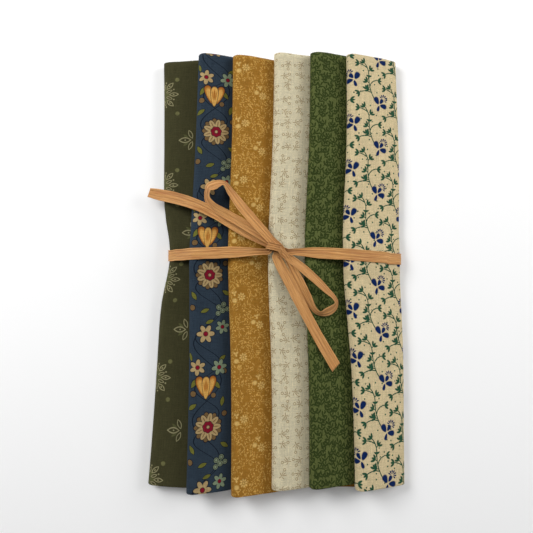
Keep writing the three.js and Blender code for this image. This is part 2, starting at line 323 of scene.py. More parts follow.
# the turn round the bundle, from the knot back to it
def bandRows(settings):
    rim = []
    for share in (-1, 0, 1):
        for section in bundleSections(bundleSizes["tieY"] + share * bundleSizes["bandFlat"]):
            for angle in np.linspace(0, 2 * math.pi, settings["bandSides"], endpoint=False):
                turned = section["line"] + section["radius"] * np.array([math.cos(angle), math.sin(angle)])
                turned[:, 1] = np.maximum(turned[:, 1], section["ground"])
                rim += turned.tolist()
    hull = outerHull(rim)
    closed = np.vstack([hull, hull[:1]])
    around = runAlong(closed)

    def at(place):
        return np.array([np.interp(place % around[-1], around, closed[:, k]) for k in (0, 1)])

    middle = hull[:, 1].max() / 2
    left, right = hull[:, 0].min(), hull[:, 0].max()
    near, far = settings["bandNarrow"]
    mean = (settings["bandLeft"] + settings["bandRight"]) / 2
    rows = []
    for place in np.arange(0, around[-1], settings["bandStep"]):
        x, z = at(place)
        onTop = z > middle
        run = at(place + settings["bandStep"]) - at(place - settings["bandStep"])
        run /= np.linalg.norm(run)
        across = (x - left) / (right - left)
        y = settings["bandLeft"] + (settings["bandRight"] - settings["bandLeft"]) * across
        if onTop:
            y += (settings["bandMiddle"] - mean) * math.sin(math.pi * across)
        fromKnot = abs(x) if onTop else far
        width = settings["width"] * (0.5 + 0.5 * float(smoothStep((fromKnot - near) / (far - near))))
        x += run[1] * settings["bandGap"]
        z -= run[0] * settings["bandGap"]
        rows.append(((x, y, z), (run[1], 0, -run[0]), width))
    # the hull runs anticlockwise from the left, so its last part is the top, from right to left
    top = [i for i, row in enumerate(rows) if row[0][2] > middle]
    knotAt = min(top, key=lambda i: abs(rows[i][0][0]))
    turned = (rows[knotAt:] + rows[:knotAt])[::-1]
    return [row for row in turned if not (row[0][2] > middle and abs(row[0][0]) < settings["knotGap"])]


# the turn over the knot
def wrapRows(settings):
    centre, across = np.array(settings["wrapCentre"]), np.array(settings["wrapAcross"])
    up = np.array([0, 0, 1])
    sideways, upwards = settings["wrapRadius"]
    rows = []
    for angle in np.radians(np.linspace(*settings["wrapAngles"], settings["wrapPoints"])):
        outward = across * math.cos(angle) + up * math.sin(angle)
        reach = across * sideways * math.cos(angle) + up * upwards * math.sin(angle)
        rows.append((tuple(centre + reach), tuple(outward), settings["wrapWidth"]))
    return rows


# between two rows, by where t stands between start and end
def blend(t, start, end, first, last):
    return first * (end - t) / (end - start) + last * (t - start) / (end - start)


# a smooth line through the rows, in even steps
def smoothRows(rows, settings):
    table = np.array([[*p, *(np.array(n) / np.linalg.norm(n)), w] for p, n, w in rows], float)
    knots = runAlong(table[:, :3], 0.5)
    last = len(table) - 1
    fine = []
    for i in range(last):
        p0, p1, p2, p3 = (table[min(max(k, 0), last)] for k in range(i - 1, i + 3))
        t1, t2 = knots[i], knots[i + 1]
        t0 = knots[i - 1] if i else t1 - (t2 - t1)
        t3 = knots[i + 2] if i + 2 <= last else t2 + (t2 - t1)
        for t in np.linspace(t1, t2, settings["curveSteps"], endpoint=False):
            a1, a2, a3 = blend(t, t0, t1, p0, p1), blend(t, t1, t2, p1, p2), blend(t, t2, t3, p2, p3)
            b1, b2 = blend(t, t0, t2, a1, a2), blend(t, t1, t3, a2, a3)
            fine.append(blend(t, t1, t2, b1, b2))
    fine = np.array(fine + [table[-1]])
    run = runAlong(fine[:, :3])
    places = np.linspace(0, run[-1], int(run[-1] / settings["step"]) + 1)
    even = np.stack([np.interp(places, run, column) for column in fine.T], 1)
    return places, even[:, :3], even[:, 3:6], even[:, 6]


# how far the strip's face stands out at one place across it, and how deep its grooves are there
def stripRelief(lane, places, settings):
    relief, groove = 0 * places, 0 * places
    for place, sway, stretch, depth, halfWidth, seed in raffiaGrooves:
        line = place + sway * wander(places / stretch, seed)
        here = depth * (0.7 + 0.5 * wander(places / stretch * 2.3, seed + 5))
        groove = groove + here * np.exp(-((lane - line) / halfWidth) ** 2)
    crease, beside, halfWidth = settings["hemCrease"]
    for side, place, sway, stretch, height, seed in raffiaHems:
        rim = place + sway * wander(places / stretch, seed)
        past = side * lane - rim
        relief = relief + height * smoothStep(past / settings["hemSlope"] + 1)
        groove = groove + crease * height * np.exp(-((past + beside) / halfWidth) ** 2)
    return relief - groove, groove


def makeRaffia(settings):
    rows = stripRows(leftTail) + stripRows(lowerLoop) + wrapRows(settings)
    rows += bandRows(settings) + stripRows(upperLoop) + stripRows(lowerTail)
    places, centre, normal, width = smoothRows(rows, settings)
    tangent = np.gradient(centre, axis=0)
    tangent /= np.linalg.norm(tangent, axis=1)[:, None]
    normal -= tangent * (normal * tangent).sum(1)[:, None]
    normal /= np.linalg.norm(normal, axis=1)[:, None]
    side = np.cross(normal, tangent)
    across = np.linspace(-1, 1, settings["across"] + 1)
    pinched = np.clip(settings["width"] / width, 1, settings["pinchMost"]) ** settings["pinchPower"]
    pinched = pinched * settings["pinch"]
    ends = [np.exp(-places / settings["cutReach"]), np.exp((places - places[-1]) / settings["cutReach"])]
    cut = ends[0] * settings["cuts"][0] + ends[1] * settings["cuts"][1]
    ragged, raggedLength = settings["ragged"]
    points, uv, grooveShadeMask = [], [], []
    for surface in (1, -1):
        for lane in across[::surface]:
            relief, groove = stripRelief(lane, places, settings)
            curl = settings["curl"] * (1 - lane ** 2)
            thin = settings["thickness"] / 2 * (1 if abs(lane) < 1 else settings["rimShare"])
            out = relief * pinched + curl + surface * thin
            sideways = lane * (1 + ragged * wander(places / raggedLength, 5 + lane)) * width / 2
            slant = sideways * cut
            shift = side * sideways[:, None] + normal * out[:, None] + tangent * slant[:, None]
            points.append(centre + shift)
            uv.append(np.stack([places, np.full(len(places), lane * settings["width"] / 2)], 1))
            grooveShadeMask.append(groove * pinched)
    # painted shade: how far each point is darkened for lying in a groove, 1 where no shade is painted
    grooveShadeMask = np.clip(1 - np.stack(grooveShadeMask, 1).reshape(-1) * settings["grooveShadeDepth"], 0, 1)
    ringSize, ringCount = len(points), len(places)
    points = np.stack(points, 1).reshape(-1, 3)
    uv = np.stack(uv, 1).reshape(-1, 2)
    faces = tubeFaces(ringCount, ringSize)
    for base, order in ((0, 1), ((ringCount - 1) * ringSize, -1)):
        for j in range(settings["across"]):
            quad = [base + j, base + ringSize - 1 - j, base + ringSize - 2 - j, base + j + 1]
            faces.append(tuple(quad[::order]))
    piece = makeMesh("raffiaTie", points, faces, uv)
    # the painted groove shade goes to the material as a point attribute
    grooveShadeAttribute = piece.data.attributes.new("grooveShadeAttribute", "FLOAT", "POINT")
    grooveShadeAttribute.data.foreach_set("value", grooveShadeMask.astype(np.float32))
    return piece, centre, places[-1]


raffiaTie, raffiaPath, raffiaLength = makeRaffia(raffia)
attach(raffiaTie, "root")
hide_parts("raffia_tie")
print("raffia tied: strip length", round(raffiaLength), "mm")


# the cloth: one sheet a roll, folded in half at the front end and wound as a flat spiral
clothSheet = {
    "thickness": 0.26,
    "filled": 0.94,           # how much of the section the turns fill
    "plump": 0.25,            # the outer turn stands this much proud of the solid
    "innerRadius": 0.32,      # of the innermost turn
    "freeEdge": 12,           # the hidden outer edge, from the roll's right side
    "outerStep": 1.1,         # along the outer turns, which end at outerReach
    "innerStep": 1.8,
    "outerReach": 185,
    "stationStep": 9,         # along the roll, between -stationReach and stationReach
    "stationReach": 126,
    "tieStep": 3,
    "tieReach": 21,
    "endSteps": (0, 2, 6),
    "foldSteps": 4,
    "endWander": 0.5,         # how uneven the ends are
    "endReach": 14,
    "backWave": 9,
    "frontWave": 11,
    "printDrift": 6.4,        # the back half holds this much more of the print's own length
    "sway": 0.28,             # how uneven the outer turn is
    "swayLengths": (17, 8),
    "bite": 0.35,             # how deep the tie presses
    "biteReach": 5,
}


# the places along a roll where its section is worked out, from back to front
def clothStations(roll, settings):
    reach, tieReach = settings["stationReach"], settings["tieReach"]
    far = np.arange(-reach, reach + 1, settings["stationStep"], dtype=float)
    far = far[np.abs(far - bundleSizes["tieY"]) > tieReach]
    near = np.arange(-tieReach, tieReach + 1, settings["tieStep"]) + bundleSizes["tieY"]
    ends = [roll["back"] - step for step in settings["endSteps"]]
    ends += [roll["front"] + step for step in settings["endSteps"]]
    return np.sort(np.concatenate([far, near, ends]))[::-1]


# one roll's turns at one place along it, for each distance along the winding
def windingAt(roll, section, settings, wound):
    line = section["line"]
    radius = section["radius"] + settings["plump"]
    runs = runAlong(line)
    straight = runs[-1]
    area = math.pi * section["radius"] ** 2 + 2 * straight * section["radius"]
    pitch = area / bundleSizes["clothSide"] * settings["filled"]
    lead = bundleSizes["flapRight"] - line[-1, 0] if roll["hasFlap"] else -settings["freeEdge"]
    along = wound - lead
    b = 2 * straight + 2 * math.pi * radius - math.pi * pitch
    root = np.sqrt(np.maximum(b * b - 4 * math.pi * pitch * np.maximum(along, 0), 0))
    turns = (b - root) / (2 * math.pi * pitch)
    steps = np.diff(line, axis=0)
    slopes = np.arctan2(steps[:, 1], steps[:, 0])
    return {
        "line": line, "runs": runs, "straight": straight, "radius": radius, "ground": section["ground"],
        "along": along, "lead": lead, "share": turns - np.floor(turns), "slopes": (slopes[0], slopes[-1]),
        "middleRadius": np.maximum(radius - pitch * (turns + 0.5), settings["innerRadius"]),
    }


# where the cloth lies at one offset from its folded middle: its place in the section, how far
# across the roll it is, how much it faces up, and its outward direction
def placeOnWinding(winding, offset):
    straight, ring = winding["straight"], winding["middleRadius"]
    rho = ring + offset
    q = winding["share"] * (2 * straight + 2 * math.pi * ring)
    arc = math.pi * ring
    onBottom = q < straight
    onLeft = (q >= straight) & (q < straight + arc)
    onTop = (q >= straight + arc) & (q < 2 * straight + arc)
    parts = [onBottom, onLeft, onTop]
    t = np.select(parts, [straight - q, 0 * q, q - straight - arc], straight)
    startSlope, endSlope = winding["slopes"]
    slope = startSlope + (endSlope - startSlope) * t / straight
    leftTurn = -np.pi / 2 - (q - straight) / ring
    rightTurn = np.pi / 2 - (q - 2 * straight - arc) / ring
    angle = slope + np.select(parts, [0 * q - np.pi / 2, leftTurn, 0 * q + np.pi / 2], rightTurn)
    x = np.interp(t, winding["runs"], winding["line"][:, 0]) + rho * np.cos(angle)
    z = np.interp(t, winding["runs"], winding["line"][:, 1]) + rho * np.sin(angle)
    lowest = winding["ground"] + winding["radius"] - rho
    # the loose outer end lies flat on the surface
    loose = winding["along"] < 0
    x = np.where(loose, winding["line"][-1, 0] - winding["along"], x)
    z = np.where(loose, lowest, np.maximum(z, lowest))
    facing = np.where(onTop, 1.0, np.where(onLeft, smoothStep(-(leftTurn + np.pi / 2) / np.pi), 0))
    return x, z, t / straight, facing * rho / winding["radius"], np.cos(angle), np.sin(angle)


# how far along the winding the roll's left edge lies, on its first turn
def leftEdgePlace(winding):
    return winding["lead"] + winding["straight"] + math.pi * winding["middleRadius"][0] / 2


# where the print's own length has got to: it runs closer towards the back end
def printPlace(y):
    return y + clothSheet["printDrift"] * (y / bundleSizes["halfLength"]) ** 2


# a place along a roll that is a little shorter on its left
def taperedPlace(roll, right, x, y):
    return y * (1 - roll["taper"] * (right - x) / roll["width"])


# one ring round the folded sheet: its outer face, the fold and back, then the faces inside it
def sheetProfile(count, settings):
    middle, half = bundleSizes["layerPitch"] / 2, settings["thickness"] / 2
    outer, inner = middle + half, middle - half
    profile = [(i, outer, 0) for i in range(count)]
    for step in range(1, settings["foldSteps"]):
        turn = math.pi * step / settings["foldSteps"]
        profile.append((count - 1, outer * math.cos(turn), -outer * math.sin(turn)))
    profile += [(i, -outer, 0) for i in reversed(range(count))]
    profile += [(i, -inner, 0) for i in range(count)]
    return profile + [(i, inner, 0) for i in reversed(range(count))]


# how far the outer turn stands out of its even shape
def unevenFace(index, y, t, settings):
    long, short = settings["swayLengths"]
    push = wander(y / long + t * 2.2, index * 3.1) + 0.5 * wander(y / short - t * 3, index + 9)
    tieGap = (y - bundleSizes["tieY"]) / settings["biteReach"]
    push = settings["sway"] * push - settings["bite"] * math.exp(-tieGap ** 2)
    return push * np.sin(np.pi * np.clip(t * 1.4, 0.02, 1) ** 0.6)


def makeRoll(index, roll, settings):
    stations = clothStations(roll, settings)
    fine = np.arange(0, settings["outerReach"], settings["outerStep"])
    coarse = np.arange(settings["outerReach"], bundleSizes["clothSide"], settings["innerStep"])
    wound = np.concatenate([fine, coarse, [bundleSizes["clothSide"]]])
    windings = [windingAt(roll, sectionsAt(y)[index], settings, wound) for y in stations]
    profile = sheetProfile(len(stations), settings)
    endReach = settings["endReach"]
    columns, uvColumns = [], []
    for i, offset, past in profile:
        x, z, t, facing, nx, nz = placeOnWinding(windings[i], offset)
        y = stations[i]
        near = float(smoothStep((y - roll["back"] + endReach) / endReach))
        seed = index + (2 if offset < 0 else 0)
        drift = wander(wound / settings["backWave"], seed) * settings["endWander"] * near
        near = float(smoothStep((roll["front"] + endReach - y) / endReach))
        drift = drift + wander(wound / settings["frontWave"], index + 7) * settings["endWander"] * near
        push = unevenFace(index, y, t, settings) * facing
        x = x + nx * push
        z = z + nz * push
        right = windings[i]["line"][-1, 0]
        columns.append(np.stack([x, taperedPlace(roll, right, x, y + drift + past), z], 1))
        u = wound - leftEdgePlace(windings[i])
        v = printPlace(y + past) if offset > 0 else 2 * printPlace(roll["front"]) - printPlace(y)
        uvColumns.append(np.stack([u, np.full(len(wound), v)], 1))
    points = np.stack(columns, 1).reshape(-1, 3)
    uv = np.stack(uvColumns, 1).reshape(-1, 2)
    faces = tubeFaces(len(wound), len(profile))
    # the sheet's two long raw edges
    count = len(stations)
    farStart = count + settings["foldSteps"] - 1
    nearStart = farStart + count
    insideStart = nearStart + count
    for base, order in ((0, 1), ((len(wound) - 1) * len(profile), -1)):
        for j in range(count - 1):
            top = [j, insideStart + count - 1 - j, insideStart + count - 2 - j, j + 1]
            low = [farStart + j, nearStart + count - 1 - j, nearStart + count - 2 - j, farStart + j + 1]
            faces.append(tuple(base + k for k in top[::order]))
            faces.append(tuple(base + k for k in low[::order]))
        cap = list(range(count - 1, farStart + 1)) + [nearStart + count - 1, insideStart]
        faces.append(tuple(base + k for k in cap[::-order]))
    return makeMesh(roll["name"] + "_cloth", points, faces, uv)


# arithmetic on shader sockets, so that a print reads as a sum
class nodeValue:
    def __init__(self, tree, socket):
        self.tree = tree
        self.socket = socket

    def math(self, operation, *others, clamp=False):
        parts = dict(enumerate((self,) + others))
        node = addNode(self.tree, "ShaderNodeMath", parts, operation=operation, use_clamp=clamp)
        return nodeValue(self.tree, node.outputs[0])

    def __add__(self, other):
        return self.math("ADD", other)

    def __sub__(self, other):
        return self.math("SUBTRACT", other)

    def __mul__(self, other):
        return self.math("MULTIPLY", other)

    def low(self, other):
        return self.math("MINIMUM", other)

    def high(self, other):
        return self.math("MAXIMUM", other)


def feed(tree, part, socket):
    if isinstance(part, nodeValue):
        part = part.socket
    if isinstance(part, bpy.types.NodeSocket):
        tree.links.new(part, socket)
    else:
        socket.default_value = part


# a node with its settings, and its inputs by place or name
def addNode(tree, kind, inputs, **settings):
    node = tree.nodes.new(kind)
    for key, value in settings.items():
        setattr(node, key, value)
    for key, part in inputs.items():
        feed(tree, part, node.inputs[key])
    return node


# a print's colours are written from 0 to 255
def ink(red, green, blue):
    return (*(((part / 255 + 0.055) / 1.055) ** 2.4 for part in (red, green, blue)), 1)


# the nearer of two shapes, where there are two
def joined(shape, other):
    return other if shape is None else shape.low(other)


surfaceSockets = {"roughness": "Roughness", "sheen": "Sheen Weight", "specular": "Specular IOR Level"}


class clothPrint:
    def __init__(self, name, ground):
        self.material = bpy.data.materials.new(name)
        self.material.use_nodes = True
        self.tree = self.material.node_tree
        self.shader = self.tree.nodes["Principled BSDF"]
        self.uv = self.node("ShaderNodeUVMap", {}).outputs["UV"]
        self.colour = ink(*ground)
        self.before = None

    def node(self, kind, inputs, **settings):
        return addNode(self.tree, kind, inputs, **settings)

    def vector(self, operation, *parts):
        node = self.node("ShaderNodeVectorMath", dict(enumerate(parts)), operation=operation)
        return node.outputs["Value" if operation == "LENGTH" else "Vector"]

    # coordinates centred on one motif, repeated every tile; they wait for the last shape, which
    # keeps the shader's memory small
    def repeat(self, x, y, width, height):
        place = self.vector("SUBTRACT", self.uv, (x, y, 0))
        if self.before is not None:
            place = self.vector("MULTIPLY_ADD", self.before, (0, 0, 1e-6), place)
        return self.vector("WRAP", place, (width / 2, height / 2, 0), (-width / 2, -height / 2, 0))

    def mapped(self, source, x, y, turn=0, long=1, wide=1):
        inputs = {"Vector": source, "Location": (x, y, 0), "Rotation": (0, 0, math.radians(turn)),
                  "Scale": (long, wide, 1)}
        return self.node("ShaderNodeMapping", inputs, vector_type="TEXTURE").outputs[0]

    def length(self, vector):
        return nodeValue(self.tree, self.vector("LENGTH", vector))

    def parts(self, vector):
        node = self.node("ShaderNodeSeparateXYZ", {0: vector})
        return nodeValue(self.tree, node.outputs[0]), nodeValue(self.tree, node.outputs[1])

    # each shape is below 1 inside its rim
    def oval(self, source, x, y, turn, long, wide):
        return self.length(self.mapped(source, x, y, turn, long, wide))

    def leaf(self, source, x, y, turn, long, wide):
        along, across = self.parts(self.mapped(source, x, y, turn, long, wide))
        return across.math("ABSOLUTE") + along * along

    def drop(self, source, x, y, turn, long, wide):
        along, across = self.parts(self.mapped(source, x, y, turn, long, wide))
        fuller = across * along.math("MULTIPLY_ADD", -0.45, 1.3)
        return (along * along + fuller * fuller).math("SQRT")

    def ovals(self, source, rows, kind="oval"):
        shape = None
        for row in rows:
            shape = joined(shape, getattr(self, kind)(source, *row))
        self.before = shape
        return shape

    # polar coordinates folded into one sector of so many, as a vector along and across it
    def sector(self, source, x, y, turn, count):
        along, across = self.parts(self.mapped(source, x, y, turn))
        angle = across.math("ARCTAN2", along).math("WRAP", math.pi / count, -math.pi / count)
        reach = self.length(self.mapped(source, x, y))
        inputs = {0: angle.math("COSINE") * reach, 1: angle.math("SINE") * reach}
        return self.node("ShaderNodeCombineXYZ", inputs).outputs[0]

    # one cell's own coordinates and random values, over an uneven grid
    def scatter(self, spacing, uneven, source=None, swing=2 * math.pi):
        source = source or self.uv
        inputs = {"Vector": source, "Scale": 1 / spacing, "Randomness": uneven}
        cells = self.node("ShaderNodeTexVoronoi", inputs, voronoi_dimensions="2D", feature="F1")
        place = self.vector("SUBTRACT", source, cells.outputs["Position"])
        split = self.node("ShaderNodeSeparateColor", {0: cells.outputs["Color"]})
        chance = [nodeValue(self.tree, output) for output in split.outputs]
        if swing:
            inputs = {"Vector": place, "Angle": chance[0] * swing}
            place = self.node("ShaderNodeVectorRotate", inputs, rotation_type="Z_AXIS").outputs[0]
        return place, chance

    def noise(self, scaleX, scaleY, detail):
        stretch = self.mapped(self.uv, 0, 0, 0, scaleX, scaleY)
        inputs = {"Vector": stretch, "Scale": 1, "Detail": detail}
        return nodeValue(self.tree, self.node("ShaderNodeTexNoise", inputs, noise_dimensions="2D").outputs[0])

    # the print's own coordinates, bent a little
    def warped(self, amount, size):
        inputs = {"Vector": self.uv, "Scale": 1 / size, "Detail": 1}
        noise = self.node("ShaderNodeTexNoise", inputs, noise_dimensions="2D").outputs["Color"]
        centred = self.vector("SUBTRACT", noise, (0.5, 0.5, 0.5))
        return self.vector("MULTIPLY_ADD", centred, (amount * 2, amount * 2, 0), self.uv)

    def paint(self, cover, colour):
        inputs = {0: cover, 6: self.colour, 7: ink(*colour)}
        self.colour = self.node("ShaderNodeMix", inputs, data_type="RGBA").outputs[2]

    # paint inside a shape's rim, with a soft edge
    def stamp(self, shape, colour, soft, rim=1.0):
        inputs = {"Value": shape, "From Min": rim + soft, "From Max": rim - soft}
        cover = self.node("ShaderNodeMapRange", inputs, interpolation_type="SMOOTHSTEP").outputs[0]
        self.paint(cover, colour)

    # the surface's values, and its relief where it has one
    def finish(self, colour, settings, relief=None):
        sockets = self.shader.inputs
        self.tree.links.new(colour, sockets["Base Color"])
        for key, name in surfaceSockets.items():
            if key in settings:
                sockets[name].default_value = settings[key]
        if relief is not None:
            bump = self.node("ShaderNodeBump", {"Distance": settings["bumpHeight"], "Height": relief})
            self.tree.links.new(bump.outputs[0], sockets["Normal"])
        return self.material


# the point that lies at some distance from another, in the direction of a turn
def onward(x, y, turn, distance):
    angle = math.radians(turn)
    return x + math.cos(angle) * distance, y + math.sin(angle) * distance


# the ovals of a sprig: a stalk, a leaf at its tip and one on each side
def sprigRows(x, y, turn, reach, leaf, stalk):
    long, wide = leaf
    rows = [(*onward(x, y, turn, reach / 2), turn, reach / 2 + 0.1, stalk),
            (*onward(x, y, turn, reach + long), turn, long, wide)]
    fork = onward(x, y, turn, reach - 0.1)
    for lean in (turn - 35, turn + 35):
        rows.append((*onward(*fork, lean, long * 1.4), lean, long * 0.92, wide * 0.92))
    return rows


greenPrint = {
    "ground": (91, 99, 54),
    "twig": (50, 61, 27),
    "spacing": 4.7,
    "uneven": 0.6,
    "swing": 1.9,             # how far the twigs lean apart, in radians
    "layers": ((0, 0), (2.6, 31.2)),
    "leaf": (1.45, 0.54),
    "leans": (-48, 44),
    "stalk": 0.22,
    "reach": 2.66,
    "back": 2.6,              # from a twig's foot to the middle of its cell
    "warp": (0.5, 9),
}


# the ovals of a straight twig: its stalk, a leaf at its tip and a pair half way up
def twigRows(x, y, turn, settings):
    long, wide = settings["leaf"]
    reach = settings["reach"]
    rows = [(*onward(x, y, turn, reach / 2), turn, reach / 2, settings["stalk"]),
            (*onward(x, y, turn, reach + long), turn, long, wide)]
    fork = onward(x, y, turn, reach / 2)
    for lean in settings["leans"]:
        rows.append((*onward(*fork, turn + lean, long * 1.1), turn + lean, long, wide))
    return rows


def makeGreenPrint(settings):
    p = clothPrint("green_cotton", settings["ground"])
    bent = p.warped(*settings["warp"])
    lean = math.degrees(math.pi / 2 + settings["swing"] / 2)
    foot = onward(0, 0, lean, -settings["back"])
    shape = None
    for x, y in settings["layers"]:
        at = p.scatter(settings["spacing"], settings["uneven"], p.mapped(bent, x, y), settings["swing"])[0]
        shape = joined(shape, p.ovals(at, twigRows(*foot, lean, settings)))
    p.stamp(shape, settings["twig"], 0.16)
    return p


beigePrint = {
    "ground": (211, 193, 152),
    "navy": (12, 36, 84),
    "vine": (38, 78, 56),
    "tile": (40, 30.2),
    "left": 3.8,
    "up": 8.7,
    "leaf": (1.7, 0.74),
    "stalk": 0.36,
    "step": 2.6,
    "fan": (2.5, 3.1),        # its foot, from the flower's middle
    "fanLean": 35,
    "fanDashes": 11,
    "specks": (6.5, 0.8),     # spacing, and how uneven it is
}
beigeFlower = [
    # x, y, turn, half length, half width
    (-2.7, 1.5, 118, 2.7, 2.3), (2.4, -1.9, -8, 2.6, 2.1), (-1.5, -3.8, 252, 2.1, 1.3),
    (0.9, 1.3, 55, 2.0, 1.6),
]
beigeVines = [
    # x, y, turn, bend, steps, steps with leaves beside
    (15, -12, 118, -6, 5, (2, 4)), (12, -5, 70, -24, 3, ()), (11, 0.5, 80, 14, 4, (2,)),
    (10.4, 8, 150, 12, 2, ()), (13.2, -8.5, 168, 14, 3, (1,)),
]


# a curling stalk in short steps, with a sprig at its end and one beside the steps named
def vineRows(turn, bend, steps, beside, settings):
    x, y, rows = 0, 0, []
    long, leaf, stalk = settings["step"], settings["leaf"], settings["stalk"]
    for step in range(1, steps + 1):
        rows.append((*onward(x, y, turn, long / 2), turn, long / 2 + 0.6, stalk))
        x, y = onward(x, y, turn, long)
        if step in beside:
            rows += sprigRows(x, y, turn + (-50 if bend > 0 else 50), 1.0, leaf, stalk)
        turn += bend
    return rows + sprigRows(x, y, turn, 0.8, leaf, stalk)


def makeBeigePrint(settings):
    p = clothPrint("beige_cotton", settings["ground"])
    width, height = settings["tile"]
    left, up = settings["left"], settings["up"]
    # flowers stand in two columns, each the other's mirror image half a tile on
    columns = [(left, up, -1), (left + width / 2, up + height / 2, 1)]
    navy, vine = None, None
    for x, y, side in columns:
        at = p.repeat(x, y, width, height)
        rows = [(dx * side, dy, turn if side > 0 else 180 - turn, long, wide)
                for dx, dy, turn, long, wide in beigeFlower]
        petals = p.ovals(at, rows, "drop")
        # a fan of dashes on one side of the flower
        fan = (settings["fan"][0] * side, settings["fan"][1], 90 - settings["fanLean"] * side)
        fold = p.sector(at, *fan, settings["fanDashes"])
        dashes = p.oval(fold, 2.35, 0, 0, 0.85, 0.5).low(p.oval(fold, 1.2, 0, 0, 0.28, 0.22))
        ahead = p.parts(p.mapped(at, *fan))[0]
        navy = joined(navy, petals.low(dashes.high(ahead * -1.5)))
    for x, y, side in columns:
        for vineX, vineY, *course in beigeVines:
            at = p.repeat(x + vineX, y + vineY, width, height)
            vine = joined(vine, p.ovals(at, vineRows(*course, settings)))
    speck = p.length(p.scatter(*settings["specks"], swing=0)[0]) * 2.0
    p.stamp(speck.high(vine * -1 + 2.6), settings["vine"], 0.25)
    p.stamp(vine, settings["vine"], 0.2)
    p.stamp(navy, settings["navy"], 0.16)
    return p


creamPrint = {
    "ground": (211, 201, 170),
    "sprig": (160, 138, 102),
    "spacing": 8.2,
    "uneven": 0.3,
    "line": 0.25,
    "ring": 0.2,
    "ringChance": 0.5,
}
creamStalks = [
    # x, y, turn, half length
    (-0.75, -0.5, 114, 1.8), (0.8, -0.1, 60, 2.1), (-1.5, -1.4, 160, 0.9), (1.5, -1.5, 24, 0.95),
    (0.0, -2.7, 92, 0.8), (0.0, 0.6, 88, 1.0),
]
creamRings = [
    # x, y, radius, and which chance leaves it out
    (-1.8, 2.0, 0.75, None), (2.2, 2.5, 0.7, 1),
]


def makeCreamPrint(settings):
    p = clothPrint("cream_cotton", settings["ground"])
    at, chance = p.scatter(settings["spacing"], settings["uneven"])
    shape = p.ovals(at, [(*row, settings["line"]) for row in creamStalks])
    for x, y, size, hidden in creamRings:
        ring = (p.oval(at, x, y, 0, 1, 1) - size).math("ABSOLUTE") * (1 / settings["ring"])
        if hidden:
            ring = ring.high((chance[hidden] - settings["ringChance"]) * 60)
        shape = shape.low(ring)
    p.stamp(shape, settings["sprig"], 0.4)
    return p


ochrePrint = {
    "ground": (156, 110, 42),
    "twig": (200, 157, 80),
    "blossom": (208, 172, 100),
    "tile": (24.5, 37.7),
    "warp": (2.0, 5),
    "twigChance": 0.72,
    "gapSize": 6.5,
    "gapLevel": 0.48,
}
ochreBlossoms = [
    # the daisy's x and y, then the ball's and the trefoil's from there
    (9, 24, -4.4, -2.4, -4.6, 2.2), (20.5, 6, -4.2, 1.8, -1.9, 5.4),
]
ochreTwigs = [
    # spacing, half length, half width
    (1.5, 0.7, 0.22), (1.9, 0.6, 0.3),
]


def makeOchrePrint(settings):
    p = clothPrint("ochre_cotton", settings["ground"])
    width, height = settings["tile"]
    blossom, near = None, None
    for x, y, ballX, ballY, trefoilX, trefoilY in ochreBlossoms:
        at = p.repeat(x, y, width, height)
        fold = p.sector(at, 0, 0, 10, 8)
        daisy = p.oval(fold, 1.75, 0, 0, 0.85, 0.5).low(p.oval(at, 0, 0, 0, 0.55, 0.55))
        ball = p.oval(at, ballX, ballY, 20, 1.5, 1.3)
        trefoil = p.oval(p.sector(at, trefoilX, trefoilY, 40, 3), 0.95, 0, 0, 0.85, 0.55)
        one = daisy.low(ball).low(trefoil)
        clear = p.oval(at, -2, 0.5, 0, 5, 4.2)
        blossom, near = joined(blossom, one), joined(near, clear)
    bent = p.warped(*settings["warp"])
    twig = None
    for spacing, long, wide in ochreTwigs:
        at, chance = p.scatter(spacing, 1.0, bent)
        one = p.oval(at, 0, 0, 0, long, wide) + chance[1].math("GREATER_THAN", settings["twigChance"]) * 9
        twig = joined(twig, one)
    gaps = p.noise(settings["gapSize"], settings["gapSize"], 1)
    twig = twig.high((gaps * -1 + settings["gapLevel"]) * 9).high((near * -1 + 1) * 4)
    p.stamp(twig, settings["twig"], 0.35)
    p.stamp(blossom, settings["blossom"], 0.45)
    return p


olivePrint = {
    "ground": (66, 64, 41),
    "line": (148, 142, 106),
    "fill": (88, 89, 56),
    "dot": (108, 107, 68),
    "tile": (46, 63.1),
    "medallion": (0.7, -3),
    "sprig": (20, 27.7),
    "dots": ((11.5, -16.6), (11.5, 7.2)),
    "dotSize": 1.35,
    "sprigLean": 68,
}


